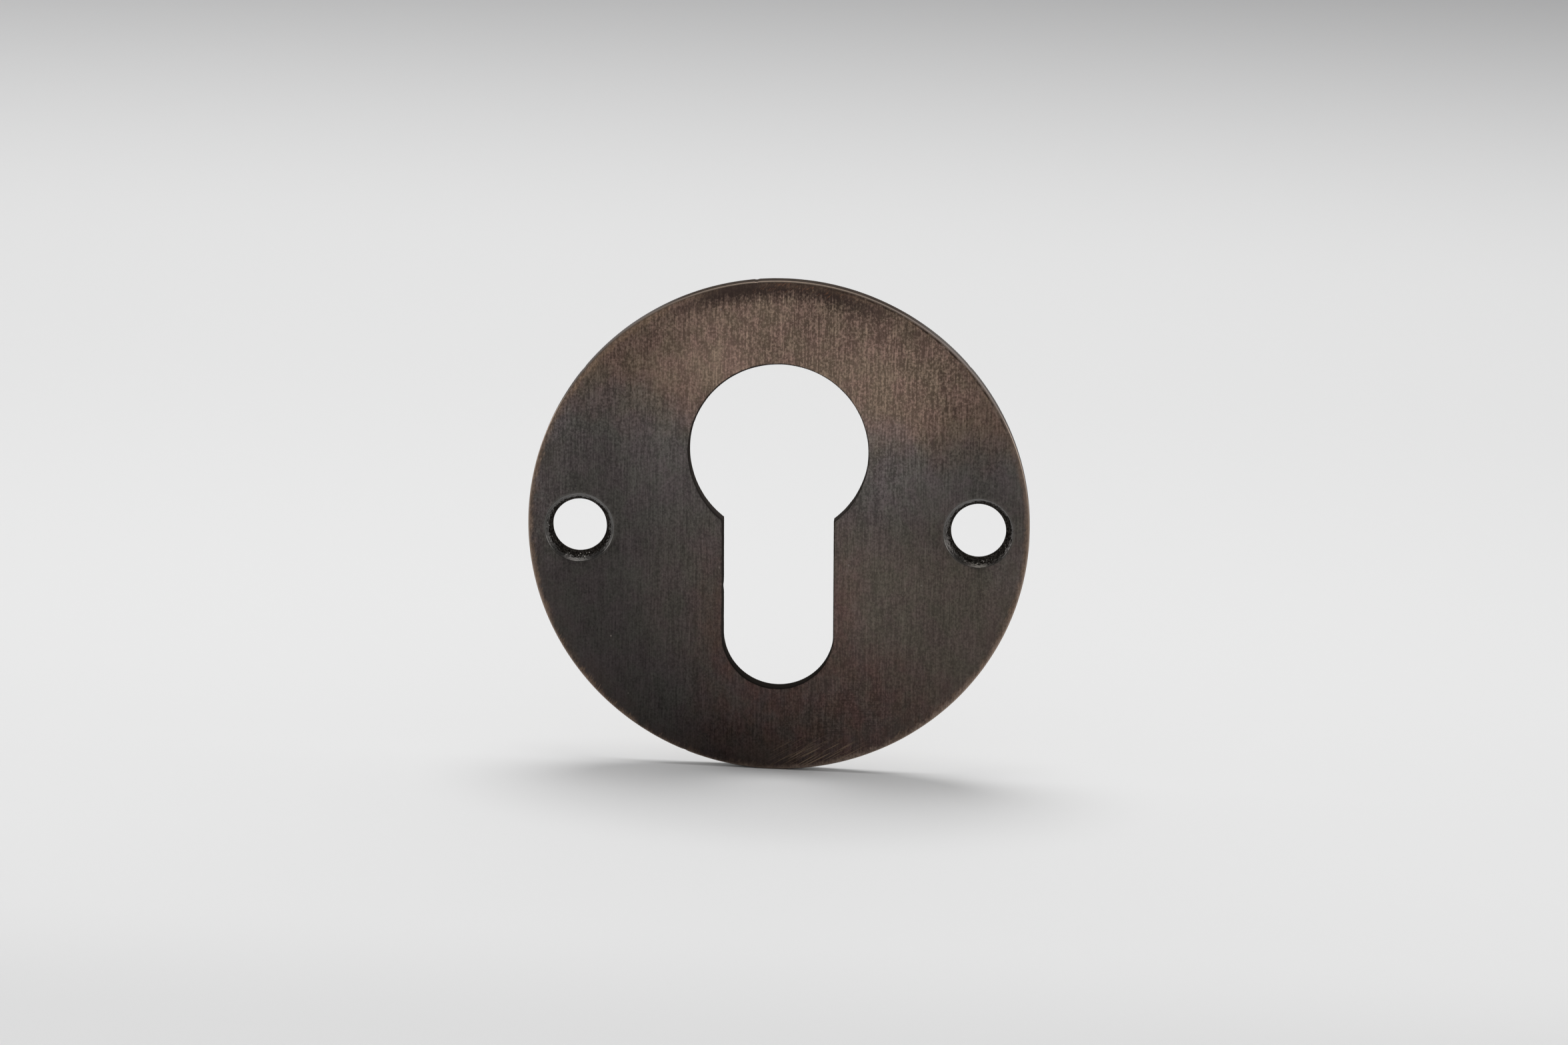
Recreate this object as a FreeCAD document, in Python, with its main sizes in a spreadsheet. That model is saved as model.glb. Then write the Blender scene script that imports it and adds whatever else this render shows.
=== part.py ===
import FreeCAD, Part
import os
import Sketcher

# Keyhole escutcheon: one flat round plate, cut right through by the outline of a
# profile cylinder lock and by a countersunk screw hole on either side of it.
# The plate stands as it does on a door. +Z is up, the polished face looks along -Y,
# and the back, which lies on the door, is in the plane Y = 0.
# The origin is midway between the screw holes, in the plane of the back. The disc and
# its cut-out share one middle, a little above the line of the screws.

doc = FreeCAD.newDocument("keyhole_escutcheon")

# The driving sizes, in millimetres and degrees
DRIVING_SIZES = {
    # The disc
    "plate_diameter": 50.0,
    "plate_thickness": 1.6,
    # Worn round on the front and back corners of the rim
    "rim_front_round": 0.2,
    "rim_back_round": 0.2,
    # The cut-out: a round bow above, and a straight web below it that ends in a half circle
    "cutout_height": 33.1,
    "bow_diameter": 17.8,
    "web_width": 11.0,
    "cutout_front_round": 0.12,
    # The screw holes, each this far in from the rim on a level line just below the middle
    "screw_margin": 5.1,
    "screw_line_drop": 0.3,
    "screw_hole_diameter": 5.5,
    "countersink_diameter": 7.1,
    "countersink_angle": 70.0,
}

# The most of the plate's thickness that one rounded corner may take
CORNER_SHARE = 0.4

# A sketch numbers the points of an edge from 1 up, and its own two axes from -1 down
START, END, CENTRE = range(1, 4)
LEVEL_AXIS, UPRIGHT_AXIS = range(-1, -3, -1)
SHEET_ORIGIN = (LEVEL_AXIS, START)

sizes = doc.addObject("Spreadsheet::Sheet", "Sizes")
for row, (name, value) in enumerate(DRIVING_SIZES.items(), start=1):
    sizes.set(f"A{row}", name)
    sizes.set(f"B{row}", str(value))
    sizes.setAlias(f"B{row}", name)
doc.recompute()

plate = doc.addObject("PartDesign::Body", "escutcheon_plate")
plate.Label = "escutcheon_plate"


def upright_sketch(name, depth="0"):
    """A sketch that faces forward, in the plane of the back or at a depth in front of it."""
    sketch = plate.newObject("Sketcher::SketchObject", name)
    upright = [p for p in plate.Origin.OriginFeatures if p.Role == "XZ_Plane"][0]
    sketch.AttachmentSupport = [(upright, "")]
    sketch.MapMode = "FlatFace"
    sketch.setExpression("AttachmentOffset.Base.z", depth)
    return sketch


def size_constraint(sketch, name, expression, *constraint):
    """A dimension of a sketch that follows the sheet."""
    index = sketch.addConstraint(Sketcher.Constraint(*constraint))
    sketch.renameConstraint(index, name)
    sketch.setExpression(f"Constraints.{name}", expression)


def polished_face(shape):
    """The face that lies furthest forward."""
    return min(shape.Faces, key=lambda face: face.CenterOfMass.y)


def back_face(shape):
    """The face that lies furthest back, against the door."""
    return max(shape.Faces, key=lambda face: face.CenterOfMass.y)


def rim_of(face):
    """The edges of the face's outer outline."""
    return face.OuterWire.Edges


def openings_of(face):
    """The edges of every outline inside the face."""
    inner = [wire for wire in face.Wires if not wire.isSame(face.OuterWire)]
    return [edge for wire in inner for edge in wire.Edges]


def rounded(name, base, corners, size):
    """A small round on the chosen corners, never more than its share of the thickness."""
    doc.recompute()
    chosen = corners(base.Shape)
    names = [
        f"Edge{number}"
        for number, edge in enumerate(base.Shape.Edges, start=1)
        if any(edge.isSame(corner) for corner in chosen)
    ]
    fillet = plate.newObject("PartDesign::Fillet", name)
    fillet.Base = (base, names)
    fillet.setExpression("Radius", f"min({size}; {CORNER_SHARE} * Sizes.plate_thickness)")
    return fillet


# The disc, blanked from sheet metal and padded forward from the back
disc_outline = upright_sketch("disc_outline")
disc_middle = FreeCAD.Vector(0, float(sizes.screw_line_drop), 0)
disc_radius = float(sizes.plate_diameter) / 2
facing = FreeCAD.Vector(0, 0, 1)
disc_outline.addGeometry(Part.Circle(disc_middle, facing, disc_radius), False)
disc_outline.addConstraint(Sketcher.Constraint("PointOnObject", 0, CENTRE, UPRIGHT_AXIS))
size_constraint(disc_outline, "across", "Sizes.plate_diameter", "Diameter", 0, 2 * disc_radius)
size_constraint(
    disc_outline, "middle_height", "Sizes.screw_line_drop",
    "DistanceY", *SHEET_ORIGIN, 0, CENTRE, disc_middle.y,
)
disc = plate.newObject("PartDesign::Pad", "disc")
disc.Profile = disc_outline
disc.setExpression("Length", "Sizes.plate_thickness")

# The rim's corners, softened by polishing and by years of wear
rim_front = rounded(
    "rim_front", disc, lambda shape: rim_of(polished_face(shape)), "Sizes.rim_front_round"
)
rim_back = rounded(
    "rim_back", rim_front, lambda shape: rim_of(back_face(shape)), "Sizes.rim_back_round"
)

# The cut-out, centred on the disc: the bow's arc, the two sides of the web,
# and the half circle at the web's foot
cutout_outline = upright_sketch("cutout_outline", "Sizes.plate_thickness")
half_web = float(sizes.web_width) / 2
half_height = float(sizes.cutout_height) / 2
bow_radius = float(sizes.bow_diameter) / 2
bow_centre = FreeCAD.Vector(0, disc_middle.y + half_height - bow_radius, 0)
foot_centre = FreeCAD.Vector(0, disc_middle.y + half_web - half_height, 0)
shoulder_drop = (bow_radius ** 2 - half_web ** 2) ** 0.5
left_shoulder = FreeCAD.Vector(-half_web, bow_centre.y - shoulder_drop, 0)
right_shoulder = FreeCAD.Vector(half_web, bow_centre.y - shoulder_drop, 0)
left_foot = FreeCAD.Vector(-half_web, foot_centre.y, 0)
right_foot = FreeCAD.Vector(half_web, foot_centre.y, 0)
bow_top = FreeCAD.Vector(0, disc_middle.y + half_height, 0)
foot_bottom = FreeCAD.Vector(0, disc_middle.y - half_height, 0)
BOW, LEFT_SIDE, FOOT, RIGHT_SIDE = range(4)
cutout_outline.addGeometry(Part.Arc(right_shoulder, bow_top, left_shoulder), False)
cutout_outline.addGeometry(Part.LineSegment(left_shoulder, left_foot), False)
cutout_outline.addGeometry(Part.Arc(left_foot, foot_bottom, right_foot), False)
cutout_outline.addGeometry(Part.LineSegment(right_foot, right_shoulder), False)
for joint in (
    ("Coincident", BOW, END, LEFT_SIDE, START),
    ("Tangent", LEFT_SIDE, END, FOOT, START),
    ("Tangent", FOOT, END, RIGHT_SIDE, START),
    ("Coincident", RIGHT_SIDE, END, BOW, START),
    ("Vertical", LEFT_SIDE),
    ("Vertical", RIGHT_SIDE),
    ("PointOnObject", BOW, CENTRE, UPRIGHT_AXIS),
    ("PointOnObject", FOOT, CENTRE, UPRIGHT_AXIS),
):
    cutout_outline.addConstraint(Sketcher.Constraint(*joint))
size_constraint(cutout_outline, "bow_across", "Sizes.bow_diameter", "Diameter", BOW, 2 * bow_radius)
size_constraint(
    cutout_outline, "bow_height",
    "Sizes.screw_line_drop + (Sizes.cutout_height - Sizes.bow_diameter) / 2",
    "DistanceY", *SHEET_ORIGIN, BOW, CENTRE, bow_centre.y,
)
size_constraint(
    cutout_outline, "web_across", "Sizes.web_width",
    "DistanceX", LEFT_SIDE, END, RIGHT_SIDE, START, 2 * half_web,
)
size_constraint(
    cutout_outline, "foot_depth",
    "(Sizes.cutout_height - Sizes.web_width) / 2 - Sizes.screw_line_drop",
    "DistanceY", FOOT, CENTRE, *SHEET_ORIGIN, -foot_centre.y,
)
cutout = plate.newObject("PartDesign::Pocket", "cutout")
cutout.Profile = cutout_outline
cutout.Type = "ThroughAll"

# The broken edge round the cut-out, on the face only
cutout_edge = rounded(
    "cutout_edge", cutout, lambda shape: openings_of(polished_face(shape)),
    "Sizes.cutout_front_round",
)

# The screw holes, drilled through and countersunk from the face
screw_centres = upright_sketch("screw_centres", "Sizes.plate_thickness")
screw_reach = disc_radius - float(sizes.screw_margin)
screw_radius = float(sizes.screw_hole_diameter) / 2
for index, side in enumerate((-1, 1)):
    centre = FreeCAD.Vector(side * screw_reach, 0, 0)
    screw_centres.addGeometry(Part.Circle(centre, facing, screw_radius), False)
    side_name = "left" if side < 0 else "right"
    size_constraint(
        screw_centres, f"{side_name}_across", "Sizes.screw_hole_diameter",
        "Diameter", index, 2 * screw_radius,
    )
    reach_ends = (index, CENTRE, *SHEET_ORIGIN) if side < 0 else (*SHEET_ORIGIN, index, CENTRE)
    size_constraint(
        screw_centres, f"{side_name}_reach", "Sizes.plate_diameter / 2 - Sizes.screw_margin",
        "DistanceX", *reach_ends, screw_reach,
    )
    screw_centres.addConstraint(Sketcher.Constraint("PointOnObject", index, CENTRE, LEVEL_AXIS))
doc.recompute()
screw_holes = plate.newObject("PartDesign::Hole", "screw_holes")
screw_holes.Profile = screw_centres
screw_holes.ThreadType = "None"
screw_holes.DepthType = "ThroughAll"
screw_holes.HoleCutType = "Countersink"
screw_holes.HoleCutCustomValues = True
screw_holes.setExpression("Diameter", "Sizes.screw_hole_diameter")
screw_holes.setExpression("HoleCutDiameter", "Sizes.countersink_diameter")
screw_holes.setExpression("HoleCutCountersinkAngle", "Sizes.countersink_angle")
plate.Tip = screw_holes
doc.recompute()

# Nothing is written unless every feature was made, and each cut took metal away
for feature in doc.Objects:
    if "Invalid" in feature.State or "Error" in feature.State:
        raise RuntimeError(f"{feature.Name} did not recompute: {feature.State}")
steps = [disc, rim_front, rim_back, cutout, cutout_edge, screw_holes]
for before, after in zip(steps, steps[1:]):
    if not after.Shape.Volume < before.Shape.Volume:
        raise RuntimeError(f"{after.Name} took no metal away")
if plate.Shape.isNull() or not plate.Shape.isValid() or len(plate.Shape.Solids) != 1:
    raise RuntimeError("the plate is not one valid solid")
print("plate volume", round(plate.Shape.Volume, 3), "mm3, box", plate.Shape.BoundBox)

os.makedirs("parts", exist_ok=True)
plate.Shape.exportStep(f"parts/{plate.Label}.step")
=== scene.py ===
import math
import random

import bmesh
import bpy
import numpy as np
from mathutils import Matrix, Vector, geometry, noise


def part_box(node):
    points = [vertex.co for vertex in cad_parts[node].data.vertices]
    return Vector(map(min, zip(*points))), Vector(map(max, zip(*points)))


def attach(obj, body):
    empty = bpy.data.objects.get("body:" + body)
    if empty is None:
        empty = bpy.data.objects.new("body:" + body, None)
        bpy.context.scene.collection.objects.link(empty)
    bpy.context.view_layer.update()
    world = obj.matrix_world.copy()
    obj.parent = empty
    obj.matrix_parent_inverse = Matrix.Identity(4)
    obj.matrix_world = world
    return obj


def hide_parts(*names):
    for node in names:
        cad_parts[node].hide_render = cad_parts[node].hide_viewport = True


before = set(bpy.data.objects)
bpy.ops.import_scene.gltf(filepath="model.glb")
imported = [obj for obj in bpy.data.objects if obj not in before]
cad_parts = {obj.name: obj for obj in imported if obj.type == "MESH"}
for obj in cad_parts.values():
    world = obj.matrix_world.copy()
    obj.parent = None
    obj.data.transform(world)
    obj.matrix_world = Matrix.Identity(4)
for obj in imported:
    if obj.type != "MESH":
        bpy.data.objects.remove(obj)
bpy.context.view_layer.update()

# The escutcheon plate, one disc of bronze sheet with a dark patina. It was blanked from the
# sheet, pierced for the lock, countersunk for two screws, brushed upright and then darkened.
# It stands on its rim, with the polished face towards the camera.

# The plate's sizes, in millimetres
MM = 0.001
PLATE_LOW, PLATE_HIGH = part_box("escutcheon_plate")
THICKNESS = (PLATE_HIGH.y - PLATE_LOW.y) / MM
DISC_RADIUS = (PLATE_HIGH.x - PLATE_LOW.x) / 2 / MM
DISC_MIDDLE = (PLATE_HIGH.z + PLATE_LOW.z) / 2 / MM
RIM_ROUND = 0.2
BOW_RADIUS = 8.9
WEB_HALF_WIDTH = 5.5
CUTOUT_HALF_HEIGHT = 16.55
CUTOUT_ROUND = 0.12
BOW_MIDDLE = DISC_MIDDLE + CUTOUT_HALF_HEIGHT - BOW_RADIUS
FOOT_MIDDLE = DISC_MIDDLE - CUTOUT_HALF_HEIGHT + WEB_HALF_WIDTH
SCREW_REACH = 19.9
SCREW_RADII = {-1: 2.69, 1: 2.74}
SINK_RADIUS = 3.55
SINK_DEPTH = 1.143
SINK_LIP = 0.14
BACK_BREAK = 0.04

# How uneven each edge is, and how fine the unevenness is round the rim and the bow
RIM_UNEVEN = 0.012
CUTOUT_UNEVEN = 0.012
BORE_UNEVEN = 0.012
LIP_UNEVEN = 0.05
EDGE_FINENESS = 9
# Where the rim was knocked: the angle round the disc, the dent's half width, and its depth
RIM_DENTS = [(95.2, 0.35, 0.06), (41.0, 0.5, 0.03), (141.0, 0.6, 0.03), (248.0, 0.5, 0.04)]
# The two knocks in the cut-out: one on the bow, by angle, and one on the left side, by height
BOW_KNOCK = (162.0, 0.9, 0.05)
SIDE_KNOCK = (-6.1, 0.35, 0.06)
# How deep the face rolls off at each edge, and over what width
RIM_ROLL = (0.035, 1.1)
CUTOUT_ROLL = (0.02, 0.6)
SCREW_ROLL = (0.015, 0.5)
WAVE_HEIGHT = 0.006
# A worn lip is narrower and shallower than a true round by these shares
LIP_WIDTH_SHARE = 0.7
LIP_DEPTH_SHARE = 0.8
GRIT_HEIGHT = 0.045

# How many points go round each outline, and how many rows down each wall
RIM_STEPS = 1000
BOW_STEPS = 300
SIDE_STEPS = 80
FOOT_STEPS = 120
SCREW_STEPS = 330
RIM_CORNER_ROWS = 7
CUTOUT_CORNER_ROWS = 5
LIP_ROWS = 4
CONE_ROWS = 24
BORE_ROWS = 3
WALL_ROWS = 6
# The triangles of the face and of the back: their spacing, and as shares of it the height of
# a row, how far a point strays, and how far it keeps from the rim and from the openings
FACE_SPACING = 0.5
BACK_SPACING = 1.4
ROW_SHARE = 0.87
STRAY = 0.1
RIM_CLEARANCE = 0.6
OPENING_CLEARANCE = 0.5
# Rings of points inside the rim of the face: how far in, and how many points
FACE_RINGS = [(0.45, 900), (0.75, 700), (1.1, 500), (1.5, 380)]
# The back has no rings, so its points keep this much further from the rim
RIM_MARGIN = 0.4
# Points closer than this are one point
SAME_PLACE = 1e-6
# Where two faces meet at more than this, the edge between them is sharp
SHARP_ANGLE = math.radians(38)

chance = random.Random(11)


def ragged(place, fineness, seed):
    """A smooth unevenness from -1 to 1 at a place in the metal."""
    return noise.noise(Vector(place) * fineness + Vector((seed, 3.7 * seed, -seed)))


def dent_at(place, middle, half_width, deepest):
    """How deep a soft dent is at a place along the edge."""
    return deepest * math.exp(-(((place - middle) / half_width) ** 2))


def rim_outline(inset):
    """The disc's outline, drawn in by the inset, with the small dents of its rim."""
    outline = []
    for step in range(RIM_STEPS):
        turn = 2 * math.pi * step / RIM_STEPS
        across, up = math.cos(turn), math.sin(turn)
        place = (EDGE_FINENESS * across, EDGE_FINENESS * up, 0)
        uneven = 0.5 + 0.5 * ragged(place, fineness=1.0, seed=2.0)
        dent = RIM_UNEVEN * uneven
        for angle, half_width, deepest in RIM_DENTS:
            away = abs((math.degrees(turn) - angle + 180) % 360 - 180)
            dent += dent_at(away, 0.0, half_width, deepest)
        radius = DISC_RADIUS - inset - dent
        outline.append((radius * across, DISC_MIDDLE + radius * up))
    return np.array(outline)


def cutout_outline(offset):
    """The outline of the lock's cut-out, moved out into the metal by the offset.

    It goes round the bow, down the left side, round the foot and up the right side.
    """
    bow = BOW_RADIUS + offset
    side = WEB_HALF_WIDTH + offset
    shoulder = BOW_MIDDLE - math.sqrt(bow**2 - side**2)
    start = math.atan2(shoulder - BOW_MIDDLE, side)
    finish = math.pi - start
    outline = []
    for step in range(BOW_STEPS):
        turn = start + (finish - start) * step / BOW_STEPS
        knock = dent_at(math.degrees(turn), *BOW_KNOCK)
        place = (turn * EDGE_FINENESS, offset, 0)
        uneven = CUTOUT_UNEVEN * ragged(place, fineness=1.0, seed=5.0)
        reach = bow + knock + uneven
        outline.append((reach * math.cos(turn), BOW_MIDDLE + reach * math.sin(turn)))
    for step in range(SIDE_STEPS):
        up = shoulder + (FOOT_MIDDLE - shoulder) * step / SIDE_STEPS
        knock = dent_at(up, *SIDE_KNOCK)
        # The unevenness sets in over the first quarter of the side
        set_in = min(1, 4 * step / SIDE_STEPS)
        uneven = CUTOUT_UNEVEN * ragged((up, offset, 0), fineness=1.0, seed=6.0) * set_in
        outline.append((-side - knock - uneven, up))
    for step in range(FOOT_STEPS):
        turn = math.pi + math.pi * step / FOOT_STEPS
        outline.append((side * math.cos(turn), FOOT_MIDDLE + side * math.sin(turn)))
    for step in range(SIDE_STEPS):
        up = FOOT_MIDDLE + (shoulder - FOOT_MIDDLE) * step / SIDE_STEPS
        outline.append((side, up))
    return np.array(outline)


def screw_outline(side, radius, raggedness):
    """A circle round a screw hole's middle, with the rough edge that the tool left."""
    outline = []
    for step in range(SCREW_STEPS):
        turn = 2 * math.pi * step / SCREW_STEPS
        across, up = math.cos(turn), math.sin(turn)
        place = (across, up, side)
        uneven = ragged(place, fineness=1.4, seed=7.0) + 0.5 * ragged(place, fineness=4.5, seed=8.0)
        reach = radius + raggedness * uneven
        outline.append((side * SCREW_REACH + reach * across, reach * up))
    return np.array(outline)


def gap_to_rim(across, up):
    """How far in from the disc's rim a place is."""
    return DISC_RADIUS - math.hypot(across, up - DISC_MIDDLE)


def gap_to_cutout(across, up):
    """How far a place is from the cut-out, in the metal round it."""
    bow = math.hypot(across, up - BOW_MIDDLE) - BOW_RADIUS
    if up >= BOW_MIDDLE:
        return bow
    below_foot = min(0.0, up - FOOT_MIDDLE)
    web = math.hypot(across, below_foot) - WEB_HALF_WIDTH
    return min(bow, web)


def gap_to_screws(across, up):
    """How far a place is from the nearer countersink."""
    return math.hypot(abs(across) - SCREW_REACH, up) - SINK_RADIUS


plate_points = []
plate_faces = []


def lay_loop(outline, depth):
    """Adds a closed loop of points, this far behind the face, and returns their numbers."""
    first = len(plate_points)
    plate_points.extend((across, depth - THICKNESS, up) for across, up in outline)
    return list(range(first, len(plate_points)))


def join_loops(loops):
    """Bands of four-sided faces between neighbouring loops, which all have as many points."""
    for near, far in zip(loops, loops[1:]):
        for step in range(len(near)):
            after = (step + 1) % len(near)
            plate_faces.append((near[step], near[after], far[after], far[step]))


def face_relief(across, up):
    """How far the brushed face lies below a true plane: rolled off at the edges, and wavy."""
    gaps = [gap_to_rim(across, up), gap_to_cutout(across, up), gap_to_screws(across, up)]
    roll = 0.0
    for gap, (height, width) in zip(gaps, (RIM_ROLL, CUTOUT_ROLL, SCREW_ROLL)):
        roll += height * math.exp(-((max(0.0, gap) / width) ** 1.5))
    waves = WAVE_HEIGHT * (1 + ragged((across, up, 0), fineness=0.16, seed=1.0))
    return roll + waves


def within(loop, places):
    """Which of the places lie inside a loop of the plate's points."""
    outline = np.array([plate_points[number] for number in loop])[:, [0, 2]]
    inside = np.zeros(len(places), bool)
    for (x1, y1), (x2, y2) in zip(outline, np.roll(outline, -1, axis=0)):
        if y1 == y2:
            continue
        crosses = (places[:, 1] < y1) != (places[:, 1] < y2)
        inside ^= crosses & (places[:, 0] < x1 + (places[:, 1] - y1) * (x2 - x1) / (y2 - y1))
    return inside


def ring_places(rings):
    """Points on rings that lie this far inside the rim."""
    ringed = []
    for inset, steps in rings:
        radius = DISC_RADIUS - inset
        for step in range(steps):
            turn = 2 * math.pi * (step + 0.5) / steps
            ringed.append(Vector((radius * math.cos(turn), DISC_MIDDLE + radius * math.sin(turn))))
    return ringed


def scattered_places(spacing, rim_margin):
    """Rows of slightly strayed points over the metal, clear of every edge."""
    scattered = []
    rows = int(2 * DISC_RADIUS / spacing) + 2
    for row in range(-rows, rows):
        for column in range(-rows, rows):
            across = (column + 0.5 * (row % 2)) * spacing + chance.uniform(-STRAY, STRAY) * spacing
            up = DISC_MIDDLE + row * spacing * ROW_SHARE + chance.uniform(-STRAY, STRAY) * spacing
            if gap_to_rim(across, up) < rim_margin + RIM_CLEARANCE * spacing:
                continue
            if gap_to_cutout(across, up) < OPENING_CLEARANCE * spacing + CUTOUT_ROUND:
                continue
            if gap_to_screws(across, up) < OPENING_CLEARANCE * spacing:
                continue
            scattered.append(Vector((across, up)))
    return scattered


def fill_flat(rim, openings, spacing, depth, rings, relief):
    """Fills the metal between the rim and the openings with small triangles."""
    flat, borders, borrowed = [], [], []
    for loop in [rim] + openings:
        first = len(flat)
        flat.extend(Vector((plate_points[number][0], plate_points[number][2])) for number in loop)
        borrowed.extend(loop)
        count = len(loop)
        borders.extend((first + step, first + (step + 1) % count) for step in range(count))
    rim_margin = max((inset for inset, steps in rings), default=RIM_MARGIN)
    flat.extend(ring_places(rings))
    flat.extend(scattered_places(spacing, rim_margin))
    result = geometry.delaunay_2d_cdt(flat, borders, [], 0, SAME_PLACE)
    verts, triangles, sources = result[0], result[2], result[3]
    numbers = []
    for place, source in zip(verts, sources):
        if source and source[0] < len(borrowed):
            numbers.append(borrowed[source[0]])
            continue
        numbers.append(len(plate_points))
        back_by = relief(place.x, place.y) if relief else 0.0
        plate_points.append((place.x, depth + back_by - THICKNESS, place.y))
    middles = np.array([sum((verts[n] for n in triangle), Vector((0, 0))) / 3 for triangle in triangles])
    kept = within(rim, middles)
    for loop in openings:
        kept &= ~within(loop, middles)
    plate_faces.extend(
        tuple(numbers[n] for n in triangle) for triangle, keep in zip(triangles, kept) if keep
    )


def rounded_corner(radius, steps):
    """Pairs of inset and depth down a rounded corner, from the flat to the wall."""
    turns = [math.pi / 2 * step / steps for step in range(steps + 1)]
    return [(radius * (1 - math.sin(turn)), radius * (1 - math.cos(turn))) for turn in turns]


# The rim: the front corner, the wall and the back corner
front_corner = rounded_corner(RIM_ROUND, RIM_CORNER_ROWS)
rim_depths = np.linspace(RIM_ROUND, THICKNESS - RIM_ROUND, WALL_ROWS + 2)[1:-1]
rim_profile = front_corner + [(0.0, depth) for depth in rim_depths]
rim_profile += [(inset, THICKNESS - depth) for inset, depth in reversed(front_corner)]
rim_loops = [lay_loop(rim_outline(inset), depth) for inset, depth in rim_profile]
join_loops(rim_loops)

# The cut-out: the broken front edge, the wall, and the plain back edge
cut_profile = rounded_corner(CUTOUT_ROUND, CUTOUT_CORNER_ROWS)
cut_depths = np.linspace(CUTOUT_ROUND, THICKNESS - BACK_BREAK, WALL_ROWS + 1)[1:]
cut_profile += [(0.0, depth) for depth in cut_depths]
cut_profile += [(BACK_BREAK, THICKNESS)]
cut_loops = [lay_loop(cutout_outline(inset), depth) for inset, depth in cut_profile]
join_loops(cut_loops)

# The screw holes: the worn lip, the rough cone of the countersink, and the bore
cone_top_radius = SINK_RADIUS - SINK_LIP * LIP_WIDTH_SHARE
cone_top_depth = SINK_LIP * LIP_DEPTH_SHARE
screw_fronts, screw_backs = [], []
for side, bore_radius in SCREW_RADII.items():
    loops = []
    for inset, depth in rounded_corner(SINK_LIP, LIP_ROWS):
        radius = SINK_RADIUS + (inset - SINK_LIP) * LIP_WIDTH_SHARE
        loops.append(lay_loop(screw_outline(side, radius, LIP_UNEVEN), depth * LIP_DEPTH_SHARE))
    for row in range(1, CONE_ROWS + 1):
        share = row / CONE_ROWS
        depth = cone_top_depth + (SINK_DEPTH - cone_top_depth) * share
        radius = cone_top_radius + (bore_radius - cone_top_radius) * share
        outline = screw_outline(side, radius, LIP_UNEVEN * (1 - share) + BORE_UNEVEN)
        # The cone is roughest half way down, and smooth at both ends
        roughness = math.sin(math.pi * min(1.0, share * 1.04))
        rough = []
        for across, up in outline:
            place = (across, up, depth)
            grit = ragged(place, fineness=5.5, seed=9.0) + 0.7 * ragged(place, fineness=11.0, seed=4.0)
            away = Vector((across - side * SCREW_REACH, up)).normalized()
            push = GRIT_HEIGHT * grit * roughness
            rough.append((across + push * away.x, up + push * away.y))
        loops.append(lay_loop(rough, depth))
    for depth in np.linspace(SINK_DEPTH, THICKNESS - BACK_BREAK, BORE_ROWS + 1)[1:]:
        loops.append(lay_loop(screw_outline(side, bore_radius, BORE_UNEVEN), depth))
    loops.append(lay_loop(screw_outline(side, bore_radius + BACK_BREAK, BORE_UNEVEN), THICKNESS))
    join_loops(loops)
    screw_fronts.append(loops[0])
    screw_backs.append(loops[-1])

# The brushed face and the plain back
fill_flat(rim_loops[0], [cut_loops[0]] + screw_fronts, FACE_SPACING, 0.0, FACE_RINGS, face_relief)
fill_flat(rim_loops[-1], [cut_loops[-1]] + screw_backs, BACK_SPACING, THICKNESS, [], None)

plate_mesh = bpy.data.meshes.new("plate")
plate_mesh.from_pydata([Vector(point) * MM for point in plate_points], [], plate_faces)
shaper = bmesh.new()
shaper.from_mesh(plate_mesh)
bmesh.ops.recalc_face_normals(shaper, faces=shaper.faces)
shaper.to_mesh(plate_mesh)
shaper.free()
plate_mesh.shade_smooth()
plate_mesh.set_sharp_from_angle(angle=SHARP_ANGLE)
plate = bpy.data.objects.new("plate", plate_mesh)
bpy.context.scene.collection.objects.link(plate)

# How far each place is from an edge, and how deep below the face, in millimetres
measures = {"rim_gap": [], "cutout_gap": [], "screw_gap": [], "below_face": []}
for across, out, up in plate_points:
    measures["rim_gap"].append(gap_to_rim(across, up))
    measures["cutout_gap"].append(gap_to_cutout(across, up))
    measures["screw_gap"].append(gap_to_screws(across, up))
    measures["below_face"].append(out + THICKNESS)
for name, values in measures.items():
    layer = plate_mesh.attributes.new(name, "FLOAT", "POINT")
    layer.data.foreach_set("value", np.array(values, np.float32))

# The bronze's finish. The tints colour the grey of the patina from place to place.
COOL = (1.10, 0.98, 0.92)
WARM = (1.35, 0.95, 0.73)
OLIVE = (1.22, 0.98, 0.78)
RED = (1.39, 0.90, 0.765)
VIOLET_CAST = (1.035, 0.98, 1.025)
GREEN_CAST = (0.97, 1.01, 0.975)
# Worn and stained metal on the face and at the rim
CLEAN_SPECK = (0.30, 0.26, 0.23)
BROWN_WEAR = (0.115, 0.073, 0.056)
FRINGE_METAL = (0.195, 0.146, 0.118)
DARK_STAIN = (0.05, 0.034, 0.03)
WORN_BRONZE = (0.25, 0.168, 0.112)
EDGE_BRONZE = (0.28, 0.215, 0.172)
SCRATCHED_METAL = (0.2, 0.145, 0.1)
RED_METAL = (0.24, 0.12, 0.075)
PATINA_LINE = (0.025, 0.018, 0.015)
# The rim's top corner, from left to right: bare metal with a painted highlight
CORNER_HIGHLIGHT_LEFT = (0.24, 0.19, 0.153)
CORNER_HIGHLIGHT_RIGHT = (0.37, 0.312, 0.282)
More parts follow.
